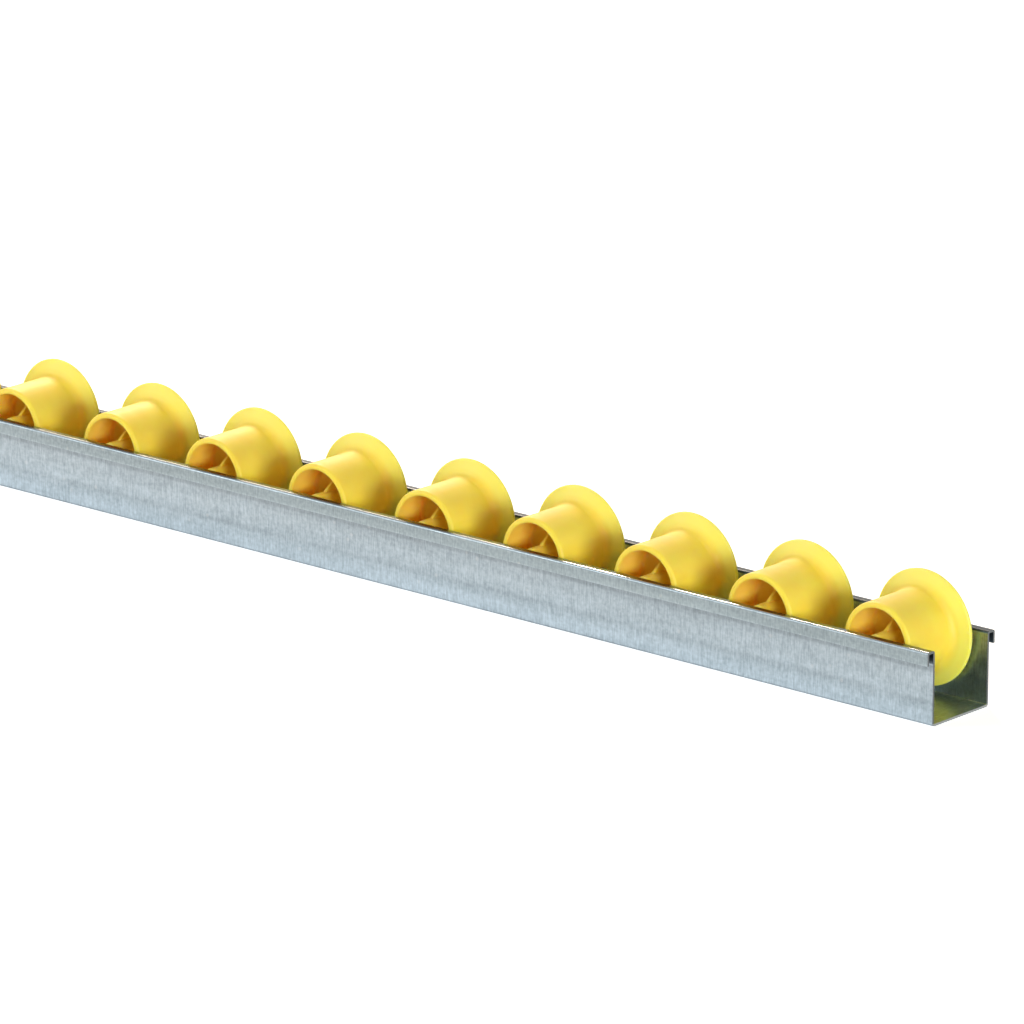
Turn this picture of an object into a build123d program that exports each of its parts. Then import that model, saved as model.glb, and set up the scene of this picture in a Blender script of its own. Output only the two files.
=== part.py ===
from build123d import *
from math import cos, pi, sin
import os

# Flow rack roller track: a folded steel channel carrying flanged rollers on pin axles.
# Millimetres. X runs along the track, Y across it with the flanges on the +Y side, Z up.
# The origin is on the underside, in the middle of the track.

# ---------------------------------------------------------------- driving sizes

# The row of rollers
roller_count = 10
flange_gap = 10.0  # free space between two neighbouring flanges

# The roller, one moulding
tread_diameter = 28.0
flange_step = 6.0  # how far the flange stands above the tread
hub_length = 27.4
hub_stand_out = 0.4  # the hub's ends stand proud of the shell and rub on the channel
hub_wall = 1.65
hub_chamfer = 0.3
shell_wall = 2.0
mouth_radius = 1.3  # rounding round the open end of the tread
mouth_chamfer = 0.3  # inner edge of the open end
cavity_depth = 12.8  # from the open end down to the web
cavity_corner_radius = 1.5
web_thickness = 2.0
flange_rise = 2.5  # how far the flange's face cones back, tread to rim
flange_root_radius = 3.0  # the tread sweeps up into the flange
dish_root_radius = 4.5  # the same sweep on the flange's hollow back
rim_thickness = 1.2
rim_chamfer = 0.35
rim_land = 1.4  # flat ring on the flange's back, behind the rim
rim_setback = 1.1  # from the hub's end back to the rim's back face
rib_count = 3
rib_thickness = 1.0
rib_foot = 6.4  # how far a rib's foot reaches out over the web
rib_height = 8.5  # how far a rib climbs along the hub

# The axle
axle_diameter = 3.0
axle_end_reach = 1.6  # how far each end passes the channel's wall
axle_chamfer = 0.3

# The channel, folded from one strip
sheet = 0.8
bend_radius = 0.2  # inside of every fold
lip_reach = 3.0  # outwards from the wall
return_depth = 4.7  # the lip's turned-down edge, from the top of the rail
axle_drop = 3.0  # axle's centre below the top of the rail

# Clearances
running_clearance = 0.05  # hub bore round the axle, radial
punch_clearance = 0.02  # punched hole round the axle, radial
side_play = 0.3  # hub's end to the channel's wall
flange_clearance = 2.2  # flange over the channel's floor

# ---------------------------------------------------------------- worked out sizes

tread_radius = tread_diameter / 2
flange_radius = tread_radius + flange_step
roller_pitch = 2 * flange_radius + flange_gap
axle_radius = axle_diameter / 2
bore_radius = axle_radius + running_clearance
hub_radius = bore_radius + hub_wall
cavity_radius = tread_radius - shell_wall

axle_height = sheet + flange_clearance + flange_radius
rail_height = axle_height + axle_drop
rail_length = roller_count * roller_pitch
inside_half = hub_length / 2 + side_play
outside_half = inside_half + sheet
lip_half = outside_half + lip_reach
axle_length = 2 * (outside_half + axle_end_reach)

os.makedirs("parts", exist_ok=True)

# ---------------------------------------------------------------- rail
# One strip of galvanised sheet. The outline follows the face that looks up and inwards:
# up the near return, over its lip, down the wall, across the floor and back up again.

outer_bend = bend_radius + sheet
return_bottom = rail_height - return_depth

with BuildPart() as rail:
    with BuildSketch(Plane.YZ):
        with BuildLine():
            FilletPolyline(
                (-lip_half, return_bottom),
                (-lip_half, rail_height),
                (-inside_half, rail_height),
                (-inside_half, sheet),
                (inside_half, sheet),
                (inside_half, rail_height),
                (lip_half, rail_height),
                (lip_half, return_bottom),
                radius=[outer_bend, outer_bend, bend_radius, bend_radius, outer_bend, outer_bend],
            )
            offset(amount=sheet, side=Side.RIGHT)
        make_face()
    extrude(amount=rail_length / 2, both=True)
    # A row of holes is punched in each wall, high up where the returns hide the axles' ends.
    for wall_middle in (inside_half + sheet / 2, -inside_half - sheet / 2):
        with BuildSketch(Plane.XZ.offset(-wall_middle)):
            with Locations((0, axle_height)):
                with GridLocations(roller_pitch, 0, roller_count, 1):
                    Circle(axle_radius + punch_clearance)
        extrude(amount=sheet, both=True, mode=Mode.SUBTRACT)

rail.part.label = "rail"
export_step(rail.part, "parts/rail.step")

# ---------------------------------------------------------------- axle
# A cut steel pin with broken edges. Its ends pass through the walls and stop short of the
# returns, which keep it from sliding out.

with BuildPart() as axle:
    with BuildSketch(Plane.XZ):
        Circle(axle_radius)
    extrude(amount=axle_length / 2, both=True)
    chamfer(axle.edges().filter_by(GeomType.CIRCLE), length=axle_chamfer)

# ---------------------------------------------------------------- roller
# A hollow moulding turned about Y: shell, web and hub in one, with a flange at +Y.
# The open end shows the hub and its ribs, and the flange's back is dished the same way.

hub_end = hub_length / 2
mouth = -hub_end + hub_stand_out
web_front = mouth + cavity_depth
web_back = web_front + web_thickness
rim_back = hub_end - rim_setback
rim_front = rim_back - rim_thickness
cone_slope = flange_rise / flange_step
dish_radius = flange_radius - rim_land
dish_foot = rim_back - (dish_radius - cavity_radius) * cone_slope
rib_root = bore_radius + hub_wall / 2
rib_turns = [2 * pi * rib / rib_count for rib in range(rib_count)]
rib_planes = [Plane((0, 0, 0), (0, 1, 0), (cos(turn), 0, -sin(turn))) for turn in rib_turns]

# The section's corners, each as its distance from the axis, its place along the axis and
# the rounding it gets: cavity, mouth, tread, flange, rim, then the dished back.
section_corners = [
    (bore_radius, web_front, 0),
    (cavity_radius, web_front, cavity_corner_radius),
    (cavity_radius, mouth + mouth_chamfer, 0),
    (cavity_radius + mouth_chamfer, mouth, 0),
    (tread_radius, mouth, mouth_radius),
    (tread_radius, rim_front - flange_rise, flange_root_radius),
    (flange_radius - rim_chamfer, rim_front - rim_chamfer * cone_slope, 0),
    (flange_radius, rim_front + rim_chamfer, 0),
    (flange_radius, rim_back - rim_chamfer, 0),
    (flange_radius - rim_chamfer, rim_back, 0),
    (dish_radius, rim_back, 0),
    (cavity_radius, dish_foot, dish_root_radius),
    (cavity_radius, web_back, 0),
    (bore_radius, web_back, 0),
]

with BuildPart() as roller:
    with BuildSketch(Plane.XY):
        with BuildLine():
            FilletPolyline(
                [(radius, along) for radius, along, _ in section_corners],
                radius=[rounding for _, _, rounding in section_corners],
                close=True,
            )
        make_face()
    revolve(axis=Axis.Y)
    # The hub, a tube from end to end.
    with BuildSketch(Plane.XZ.offset(-hub_end)):
        Circle(hub_radius)
    extrude(amount=hub_length)
    # Ribs brace the hub on both sides of the web; one of them points straight up.
    with BuildSketch(*rib_planes):
        with BuildLine():
            Polyline(
                (web_front - rib_height, rib_root),
                (web_front - rib_height, hub_radius),
                (web_front, hub_radius + rib_foot),
                (web_back, hub_radius + rib_foot),
                (web_back + rib_height, hub_radius),
                (web_back + rib_height, rib_root),
                close=True,
            )
        make_face()
    extrude(amount=rib_thickness / 2, both=True)
    # The bore runs right through the hub, and the hub's outer edges are broken.
    with BuildSketch(Plane.XZ.offset(-hub_end)):
        Circle(bore_radius)
    extrude(amount=hub_length, mode=Mode.SUBTRACT)
    rings = roller.edges().filter_by(GeomType.CIRCLE).group_by(Axis.Y)
    hub_edges = [end.sort_by(SortBy.RADIUS)[-1] for end in (rings[0], rings[-1])]
    chamfer(hub_edges, length=hub_chamfer)

# ---------------------------------------------------------------- the row
# Every axle carries one roller, which turns freely on it.

for number in range(roller_count):
    along = (number - (roller_count - 1) / 2) * roller_pitch
    place = Location((along, 0, axle_height))
    for piece, name in ((axle, "axle"), (roller, "roller")):
        copy = piece.part.moved(place)
        copy.label = f"{name}_{number + 1:02d}"
        export_step(copy, f"parts/{copy.label}.step")
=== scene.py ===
import bpy
from math import radians
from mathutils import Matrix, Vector


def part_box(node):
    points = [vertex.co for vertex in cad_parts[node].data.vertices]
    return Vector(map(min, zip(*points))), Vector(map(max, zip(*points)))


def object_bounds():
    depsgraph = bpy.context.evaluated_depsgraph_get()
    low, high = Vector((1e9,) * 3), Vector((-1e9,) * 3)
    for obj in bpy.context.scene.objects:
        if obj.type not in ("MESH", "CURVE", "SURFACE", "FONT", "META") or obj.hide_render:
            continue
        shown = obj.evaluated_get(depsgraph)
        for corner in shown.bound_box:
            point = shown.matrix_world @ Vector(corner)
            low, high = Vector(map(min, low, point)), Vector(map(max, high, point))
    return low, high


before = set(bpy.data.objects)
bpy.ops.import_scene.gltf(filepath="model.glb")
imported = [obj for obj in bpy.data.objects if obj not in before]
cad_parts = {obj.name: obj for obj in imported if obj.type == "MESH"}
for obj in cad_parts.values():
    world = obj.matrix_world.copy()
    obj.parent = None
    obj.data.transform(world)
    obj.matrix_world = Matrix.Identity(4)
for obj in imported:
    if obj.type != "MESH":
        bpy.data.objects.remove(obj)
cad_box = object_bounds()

# ---------------------------------------------------------------- the channel
# The real channel is one strip of hot-dip galvanised steel, roll-formed into a trough with
# outward lips, then punched for the axles and sheared to length. Everything else hangs in it.

rail_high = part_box("rail")[1]
rail_top = rail_high.z
lip_outside = rail_high.y
sheet = 0.0008
lip_reach = 0.0030
lip_depth = 0.0047
lip_foot = rail_top - lip_depth
wall_outside = lip_outside - lip_reach
wall_inside = wall_outside - sheet

zinc_light = (0.680, 0.800, 0.900, 1)
zinc_dull = (0.300, 0.372, 0.424, 1)
zinc_speck = (0.850, 0.880, 0.900, 1)
# The lip's outer face is painted darker and more olive, a painted shade standing in for its dimmer
# reflection.
lip_face_painted_shade = (0.830, 0.845, 0.820, 1)
# The lips' tops are painted darker, a painted shade for their dim reflection: the far lip's much
# darker, the near lip's, slid smooth, less.
lip_top_painted_shade = (0.100, 0.122, 0.110, 1)
lip_top_slid_shade = (0.620, 0.640, 0.620, 1)
# The near lip's outer bend is painted dim to the left and brighter to the right, a painted highlight
# along the bend.
bend_painted_bright = (0.360, 0.390, 0.395, 1)
bend_painted_dim = (0.130, 0.150, 0.158, 1)
# Painted shade in the groove under the lip, where the overhang shades the wall.
groove_painted_shade = (0.300, 0.310, 0.320, 1)
# Painted shade on the trough's inner faces, where little light reaches.
inside_painted_shade = (0.620, 0.660, 0.600, 1)
sheared_steel = (0.120, 0.138, 0.150, 1)
burred_steel = (0.300, 0.320, 0.330, 1)

# The zinc's own marks: the size of one in millimetres along X, Y and Z, and its share of the shade.
streak_cell, streak_share = (0.50, 4.5, 4.5), 0.40
weave_cell, weave_share = (1.3, 1.1, 1.1), 0.30
band_cell, band_share = (70, 4, 4), 0.18
patch_cell, patch_share = (14, 7, 7), 0.10
speck_spacing, speck_reach, speck_share = 8.0, 0.11, 0.25
zinc_roughness = (0.30, 0.40)
slid_smoother = 0.17

# Painted shade by height on the wall's outer face: a painted shadow under the lip, a dark line along
# the bottom fold, lighter and darker bands down the wall for how the light falls on it, and the lip's
# upper bend dimmed to thin its reflection. The groove under the lip is painted darker too, a painted
# shade in that recess. Each pair is a height on the wall's outer face in millimetres and the shade
# there.
painted_shade_bands = [
    (0.0, 0.30), (0.6, 0.54), (1.1, 0.78), (4.0, 0.80), (6.3, 0.74), (8.3, 0.65), (10.0, 0.71),
    (13.5, 0.68), (16.5, 0.66), (18.2, 0.61), (19.4, 0.48), (20.8, 0.44), (21.3, 0.69), (22.5, 0.65),
    (24.2, 0.60), (24.8, 0.64), (25.1, 0.58), (25.5, 0.40), (26.0, 0.40),
]

# Where each finish or painted shade starts and where it is full. "Out" and "in" are distances from the
# track's middle line, "up" and "down" are heights above its underside.
outer_face_out = (wall_outside - 0.0007, wall_outside - 0.0004)
lip_face_out = (lip_outside - 0.0011, lip_outside - 0.0006)
lip_face_up = (lip_foot - 0.0006, lip_foot + 0.0006)
lip_top_in = (lip_outside - 0.0008, lip_outside - 0.0011)
lip_top_up = (rail_top - 0.0010, rail_top - 0.0006)
groove_in = (lip_outside - 0.0006, lip_outside - 0.0008)
groove_up = (lip_foot - 0.0001, lip_foot + 0.0004)
groove_down = (rail_top - 0.0006, rail_top - 0.0010)
inside_in = (wall_inside + 0.0004, wall_inside + 0.0001)
inside_up = (0.0003, 0.0006)
burr_down = (sheet + 0.0002, sheet)
end_turned = (0.80, 0.95)

# Boxes leave over the lip of the plain side, the one without flanges, at -Y. It is slid smooth on top,
# and its outer bend is worn smoother towards the unloading end, at +X, where its colour is also painted
# lighter: a painted highlight that fades towards -X. Places along Y, Z and X.
plain_side = (0.001, -0.001)
bend_out = (0.0011 - lip_outside, 0.0008 - lip_outside)
bend_up = (rail_top - 0.00028, rail_top - 0.00012)
wear_and_highlight_along = (0.050, 0.115)


def node(tree, kind, feeds=None, **settings):
    """A new shader node: its settings made, each input fed by a value or by another node's output."""
    made = tree.nodes.new("ShaderNode" + kind)
    for name, value in settings.items():
        setattr(made, name, value)
    for socket, value in (feeds or {}).items():
        if isinstance(value, bpy.types.NodeSocket):
            tree.links.new(value, made.inputs[socket])
        else:
            made.inputs[socket].default_value = value
    return made


def maths(tree, operation, first, second=0.0):
    """The result of one sum on two values or outputs."""
    return node(tree, "Math", {0: first, 1: second}, operation=operation).outputs[0]


def both(tree, first, second):
    """The part of the surface that two masks share."""
    return maths(tree, "MULTIPLY", first, second)


def shared_out(tree, first, first_share, second, second_share):
    """Two values added up by their shares."""
    first_part = maths(tree, "MULTIPLY", first, first_share)
    second_part = maths(tree, "MULTIPLY", second, second_share)
    return maths(tree, "ADD", first_part, second_part)


def rescaled(tree, value, low, high, to_low=0.0, to_high=1.0):
    """A value carried from one range to another and held inside it."""
    feeds = {"Value": value, "From Min": low, "From Max": high, "To Min": to_low, "To Max": to_high}
    return node(tree, "MapRange", feeds).outputs["Result"]


def blended(tree, factor, first, second, blend_type="MIX"):
    """Two colours mixed by a factor. The numbers are the Mix node's own colour sockets."""
    feeds = {0: factor, 6: first, 7: second}
    return node(tree, "Mix", feeds, data_type="RGBA", blend_type=blend_type).outputs[2]


def banded(tree, height, bands):
    """The shade of the band that a height in metres lies in, eased into its neighbours."""
    tallest = bands[-1][0]
    share = rescaled(tree, height, 0.0, tallest / 1000)
    ramp = node(tree, "ValToRGB", {0: share})
    ramp.color_ramp.interpolation = "EASE"
    steps = ramp.color_ramp.elements
    steps.remove(steps[1])
    steps[0].color = (bands[0][1],) * 3 + (1,)
    for level, shade in bands[1:]:
        steps.new(level / tallest).color = (shade,) * 3 + (1,)
    return ramp.outputs[0]


def here(tree):
    """A point's own place on the track, in metres."""
    return node(tree, "TexCoord").outputs["Object"]


def effect(name, inputs, output):
    """An empty shader node group with these inputs and one output, and its two end nodes."""
    tree = bpy.data.node_groups.new(name, "ShaderNodeTree")
    for socket, kind, value in inputs:
        made = tree.interface.new_socket(socket, in_out="INPUT", socket_type="NodeSocket" + kind)
        made.default_value = value
    tree.interface.new_socket(output, in_out="OUTPUT", socket_type="NodeSocketFloat")
    return tree, tree.nodes.new("NodeGroupInput"), tree.nodes.new("NodeGroupOutput")


def grain_group():
    """Cloudy or streaky variation; Cell is the size of one patch in millimetres along X, Y and Z."""
    inputs = [("Cell", "Vector", (5, 5, 5)), ("Detail", "Float", 2.0)]
    tree, given, made = effect("grain", inputs, "Value")
    in_mm = node(tree, "VectorMath", {0: here(tree), 3: 1000.0}, operation="SCALE").outputs[0]
    cells = {0: in_mm, 1: given.outputs["Cell"]}
    in_cells = node(tree, "VectorMath", cells, operation="DIVIDE").outputs[0]
    feeds = {"Vector": in_cells, "Scale": 1.0, "Detail": given.outputs["Detail"], "Roughness": 0.55}
    noise = node(tree, "TexNoise", feeds).outputs[0]
    tree.links.new(rescaled(tree, noise, 0.3, 0.7), made.inputs["Value"])
    return tree


def speck_group():
    """Small scattered spots; Spacing is in millimetres and Reach is a spot's share of it."""
    inputs = [("Spacing", "Float", 3.0), ("Reach", "Float", 0.12)]
    tree, given, made = effect("specks", inputs, "Mask")
    per_metre = maths(tree, "DIVIDE", 1000.0, given.outputs["Spacing"])
    spots = node(tree, "TexVoronoi", {"Vector": here(tree), "Scale": per_metre, "Randomness": 1.0})
    full = maths(tree, "MULTIPLY", given.outputs["Reach"], 0.6)
    mask = rescaled(tree, spots.outputs["Distance"], given.outputs["Reach"], full)
    tree.links.new(mask, made.inputs["Mask"])
    return tree


grain = grain_group()
specks = speck_group()


def grained(tree, cell, detail=2.0):
    """One use of the grain in a material."""
    return node(tree, "Group", {"Cell": cell, "Detail": detail}, node_tree=grain).outputs[0]


def specked(tree, spacing, reach):
    """One use of the specks in a material."""
    return node(tree, "Group", {"Spacing": spacing, "Reach": reach}, node_tree=specks).outputs[0]


def new_material(name):
    """A material with only a Principled BSDF on its output."""
    material = bpy.data.materials.new(name)
    material.use_nodes = True
    return material, material.node_tree, material.node_tree.nodes["Principled BSDF"]


def dress(piece, material):
    """Gives every material slot of a carried-over piece the same finish."""
    for slot in piece.material_slots:
        slot.material = material


def galvanised():
    """Skin-passed zinc: woven streaks across the strip and cloudy bands along it, with painted shade by
    height, under and on the lips and inside the trough, and a painted highlight on the near lip's bend.
    """
    material, tree, surface = new_material("galvanised_sheet")
    streaks = grained(tree, streak_cell)
    weave = grained(tree, weave_cell)
    long_bands = grained(tree, band_cell)
    patches = grained(tree, patch_cell, 3.0)
    spots = specked(tree, speck_spacing, speck_reach)
    woven = shared_out(tree, streaks, streak_share, weave, weave_share)
    cloudy = shared_out(tree, long_bands, band_share, patches, patch_share)
    zinc = blended(tree, maths(tree, "ADD", woven, cloudy), zinc_dull, zinc_light)
    zinc = blended(tree, maths(tree, "MULTIPLY", spots, speck_share), zinc, zinc_speck)

    coords = node(tree, "TexCoord").outputs
    along, across, height = node(tree, "SeparateXYZ", {0: coords["Object"]}).outputs
    facing_end = node(tree, "SeparateXYZ", {0: coords["Normal"]}).outputs[0]
    out = maths(tree, "ABSOLUTE", across)

    outer_face = rescaled(tree, out, *outer_face_out)
    # Painted shade by height on the outer face and the lip's face.
    zinc = blended(tree, outer_face, zinc, banded(tree, height, painted_shade_bands), "MULTIPLY")
    # Painted shade on the lip's outer face.
    lip_face = both(tree, rescaled(tree, out, *lip_face_out), rescaled(tree, height, *lip_face_up))
    zinc = blended(tree, lip_face, zinc, lip_face_painted_shade, "MULTIPLY")
    # Painted shade on the lips' tops and inner bends, strongest on the far lip.
    lip_top = both(tree, rescaled(tree, out, *lip_top_in), rescaled(tree, height, *lip_top_up))
    plain = rescaled(tree, across, *plain_side)
    zinc = blended(tree, lip_top, zinc, blended(tree, plain, lip_top_painted_shade, lip_top_slid_shade), "MULTIPLY")
    # Painted shade in the groove under the lip.
    between_folds = both(tree, rescaled(tree, height, *groove_up), rescaled(tree, height, *groove_down))
    groove = both(tree, both(tree, outer_face, rescaled(tree, out, *groove_in)), between_folds)
    zinc = blended(tree, groove, zinc, groove_painted_shade, "MULTIPLY")
    # Painted shade inside the trough.
    inside = both(tree, rescaled(tree, out, *inside_in), rescaled(tree, height, *inside_up))
    zinc = blended(tree, inside, zinc, inside_painted_shade, "MULTIPLY")

    # Smoother towards +X, and painted brighter there as a painted highlight on the bend.
    worn_and_highlight = rescaled(tree, along, *wear_and_highlight_along)
    lip_bend = both(tree, rescaled(tree, across, *bend_out), rescaled(tree, height, *bend_up))
    zinc = blended(tree, lip_bend, zinc, blended(tree, worn_and_highlight, bend_painted_dim, bend_painted_bright))
    bend_polish = both(tree, lip_bend, rescaled(tree, worn_and_highlight, 0.0, 1.0, -1.0, 1.0))
    polished = maths(tree, "ADD", bend_polish, both(tree, lip_top, plain))

    cut_end = rescaled(tree, maths(tree, "ABSOLUTE", facing_end), *end_turned)
    sheared = blended(tree, rescaled(tree, height, *burr_down), sheared_steel, burred_steel)
    colour = blended(tree, cut_end, zinc, sheared)
    plain_roughness = rescaled(tree, patches, 0.0, 1.0, *zinc_roughness)
    smoother = maths(tree, "MULTIPLY", polished, slid_smoother)
    roughness = maths(tree, "SUBTRACT", plain_roughness, smoother)
    bump = node(tree, "Bump", {"Strength": 0.25, "Distance": 0.00004, "Height": woven})

    tree.links.new(colour, surface.inputs["Base Color"])
    tree.links.new(roughness, surface.inputs["Roughness"])
    tree.links.new(bump.outputs[0], surface.inputs["Normal"])
    surface.inputs["Metallic"].default_value = 0.95
    return material


dress(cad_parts["rail"], galvanised())

# ---------------------------------------------------------------- the axles
# Ten bright zinc-plated steel pins, cut from drawn wire. They sit in the punched holes, and the
# turned-down lips keep them from sliding out.

pin_bright = (0.640, 0.650, 0.660, 1)
pin_dull = (0.480, 0.490, 0.500, 1)
pin_roughness = (0.24, 0.36)
drawn_cell = (0.25, 12, 0.25)
cloud_cell = (3, 4, 3)


def plated_pin():
    """Drawn wire under a thin plating: faint lines along the pin, a little cloudy."""
    material, tree, surface = new_material("axle_steel")
    drawn = grained(tree, drawn_cell)
    cloudy = grained(tree, cloud_cell)
    colour = blended(tree, shared_out(tree, drawn, 0.5, cloudy, 0.5), pin_dull, pin_bright)
    bump = node(tree, "Bump", {"Strength": 0.3, "Distance": 0.00002, "Height": drawn})
    tree.links.new(colour, surface.inputs["Base Color"])
    tree.links.new(rescaled(tree, cloudy, 0.0, 1.0, *pin_roughness), surface.inputs["Roughness"])
    tree.links.new(bump.outputs[0], surface.inputs["Normal"])
    surface.inputs["Metallic"].default_value = 1.0
    return material


pin_finish = plated_pin()
for name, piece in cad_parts.items():
    if name.startswith("axle_"):
        dress(piece, pin_finish)

# ---------------------------------------------------------------- the rollers
# Each roller is one injection moulding in yellow polypropylene, slightly see-through at its thin
# edges, with a satin skin from the mould. It turns freely on its axle between the walls.

first_pin, second_pin = (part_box(name) for name in ("axle_01", "axle_02"))
roller_pitch = second_pin[0].x - first_pin[0].x
axle_height = (first_pin[0].z + first_pin[1].z) / 2
cavity_radius = 0.0120
tread_radius = 0.0140
root_radius = 0.0030

yellow = (0.965, 0.745, 0.080, 1)
yellow_deep = (0.955, 0.690, 0.065, 1)
# The thin flange is painted paler, a painted glow for light through the thin plastic.
yellow_flange_painted_glow = (0.965, 0.825, 0.145, 1)
# The bore is painted a deeper orange, painted bounce light inside the cavity.
yellow_bore_painted_bounce = (1.000, 0.660, 0.095, 1)

# Distances from the axle's centre line at which the painted orange of bounced light in the bore and the
# painted paler glow of the thin flange start and are full.
bore_bounce_in = (cavity_radius + 0.0007, cavity_radius - 0.0001)
thin_glow_out = (tread_radius + 0.0005, tread_radius + root_radius)

# The sizes of a flow cloud, a mould grain and a handling mark in millimetres.
flow_cell = (9, 9, 9)
skin_cell = (0.35, 0.35, 0.35)
handling_cell = (2.2, 2.2, 2.2)
satin_roughness = (0.48, 0.58)


def from_axle(tree):
    """How far a point of a roller is from its own axle's centre line.

    The axles stand half a pitch either side of the track's middle, and a pitch apart from there.
    """
    place = node(tree, "SeparateXYZ", {0: here(tree)}).outputs
    along = node(tree, "Math", {0: place[0], 1: roller_pitch, 2: 0.0}, operation="WRAP").outputs[0]
    beside = maths(tree, "SUBTRACT", along, roller_pitch / 2)
    above = maths(tree, "SUBTRACT", place[2], axle_height)
    arm = node(tree, "CombineXYZ", {0: beside, 2: above}).outputs[0]
    return node(tree, "VectorMath", {0: arm}, operation="LENGTH").outputs["Value"]


def moulded_yellow():
    """Satin plastic with flow clouds and a fine grain, with a painted glow making the thin flange paler
    and painted bounce light making the bore a deeper orange.
    """
    material, tree, surface = new_material("roller_plastic")
    clouds = grained(tree, flow_cell)
    skin = grained(tree, skin_cell)
    handling = grained(tree, handling_cell, 3.0)
    radius = from_axle(tree)
    bore_bounce = rescaled(tree, radius, *bore_bounce_in)
    thin_glow = rescaled(tree, radius, *thin_glow_out)
    # Painted glow on the thin flange.
    colour = blended(tree, thin_glow, blended(tree, clouds, yellow, yellow_deep), yellow_flange_painted_glow)
    # Painted bounce light inside the bore.
    colour = blended(tree, bore_bounce, colour, yellow_bore_painted_bounce)
    bump = node(tree, "Bump", {"Strength": 0.2, "Distance": 0.00003, "Height": skin})
    tree.links.new(colour, surface.inputs["Base Color"])
    tree.links.new(rescaled(tree, handling, 0.0, 1.0, *satin_roughness), surface.inputs["Roughness"])
    tree.links.new(bump.outputs[0], surface.inputs["Normal"])
    surface.inputs["Subsurface Weight"].default_value = 0.9
    surface.inputs["Subsurface Radius"].default_value = (1.0, 0.88, 0.16)
    surface.inputs["Subsurface Scale"].default_value = 0.0020
    return material


roller_finish = moulded_yellow()
for name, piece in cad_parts.items():
    if name.startswith("roller_"):
        dress(piece, roller_finish)

# ---------------------------------------------------------------- floor, light and camera
# The track stands on a plain white floor in a bright even room, under four large soft lamps. The
# floor keeps the track's soft shadow and is lifted to plain white away from it.

floor_half = 6.0
floor_gap = 0.00005
floor_white = (0.80, 0.80, 0.80, 1)
floor_lift = 0.72
lift_start, lift_end = 0.5, 1.6
plain_white = (1, 1, 1, 1)
room_white = 1.0
room_light = 0.14
room_tint = (0.82, 1.00, 0.80, 1)
lamp_aim = Vector((0, 0, 0.02))


def seen_directly(tree):
    """1 for what the camera, a mirror or a clear piece sees, 0 for soft light that bounces."""
    path = node(tree, "LightPath").outputs
    seen = maths(tree, "ADD", path["Is Camera Ray"], path["Is Glossy Ray"])
    return maths(tree, "MINIMUM", maths(tree, "ADD", seen, path["Is Transmission Ray"]), 1.0)


def floor_material():
    """Matt white, with a glow that only the camera and mirrors see and that grows with distance."""
    material, tree, surface = new_material("white_floor")
    tree.nodes.remove(surface)
    matt = node(tree, "BsdfDiffuse", {"Color": floor_white})
    distance = node(tree, "VectorMath", {0: here(tree)}, operation="LENGTH").outputs["Value"]
    lift_here = rescaled(tree, distance, lift_start, lift_end, floor_lift, 1.0)
    strength = maths(tree, "MULTIPLY", seen_directly(tree), lift_here)
    lift = node(tree, "Emission", {"Color": plain_white, "Strength": strength})
    lifted = node(tree, "AddShader", {0: matt.outputs[0], 1: lift.outputs[0]})
    tree.links.new(lifted.outputs[0], tree.nodes["Material Output"].inputs["Surface"])
    return material


corners = [(x * floor_half, y * floor_half, 0) for x, y in ((-1, -1), (1, -1), (1, 1), (-1, 1))]
floor_mesh = bpy.data.meshes.new("floor")
floor_mesh.from_pydata(corners, [], [(0, 1, 2, 3)])
floor_mesh.materials.append(floor_material())
floor = bpy.data.objects.new("floor", floor_mesh)
floor.location.z = cad_box[0][2] - floor_gap
bpy.context.scene.collection.objects.link(floor)

world = bpy.data.worlds.new("white_room")
bpy.context.scene.world = world
world.use_nodes = True
room = world.node_tree
walls = room.nodes["Background"].inputs
direct = seen_directly(room)
room.links.new(rescaled(room, direct, 0.0, 1.0, room_light, room_white), walls["Strength"])
room.links.new(blended(room, direct, room_tint, plain_white), walls["Color"])


def softbox(name, place, width, height, power, tint):
    """A large flat lamp at a place, turned towards the track."""
    lamp = bpy.data.lights.new(name, "AREA")
    lamp.color = tint
    lamp.shape = "RECTANGLE"
    lamp.size = width
    lamp.size_y = height
    lamp.energy = power
    made = bpy.data.objects.new(name, lamp)
    made.location = place
    made.rotation_euler = (lamp_aim - Vector(place)).to_track_quat("-Z", "Y").to_euler()
    bpy.context.scene.collection.objects.link(made)


softbox("back_left", (-1.14, 0.87, 1.09), 0.45, 0.45, power=30, tint=(1.0, 0.76, 0.60))
softbox("overhead", (0.10, -0.40, 1.80), 0.8, 0.8, power=4, tint=(1.0, 0.80, 0.64))
softbox("front", (-1.30, -1.25, 0.95), 0.9, 0.8, power=18, tint=(1.0, 0.98, 0.97))
softbox("right", (1.75, -0.82, 0.29), 0.6, 0.45, power=25, tint=(0.97, 1.0, 0.96))

camera_aim = Vector((0.1339, -0.0907, 0.0675))
camera_distance = 2.503
camera_turn = radians(41.30)
camera_tilt = radians(16.30)
lens_length = 269.3
film_width = 36
clip_distance = 50

lens = bpy.data.cameras.new("camera")
lens.sensor_width = film_width
lens.lens = lens_length
lens.clip_end = clip_distance
camera = bpy.data.objects.new("camera", lens)
camera.rotation_euler = (radians(90) - camera_tilt, 0, camera_turn)
camera.location = camera_aim + camera.rotation_euler.to_matrix() @ Vector((0, 0, camera_distance))
bpy.context.scene.collection.objects.link(camera)
bpy.context.scene.camera = camera
bpy.context.scene.view_settings.view_transform = "Standard"
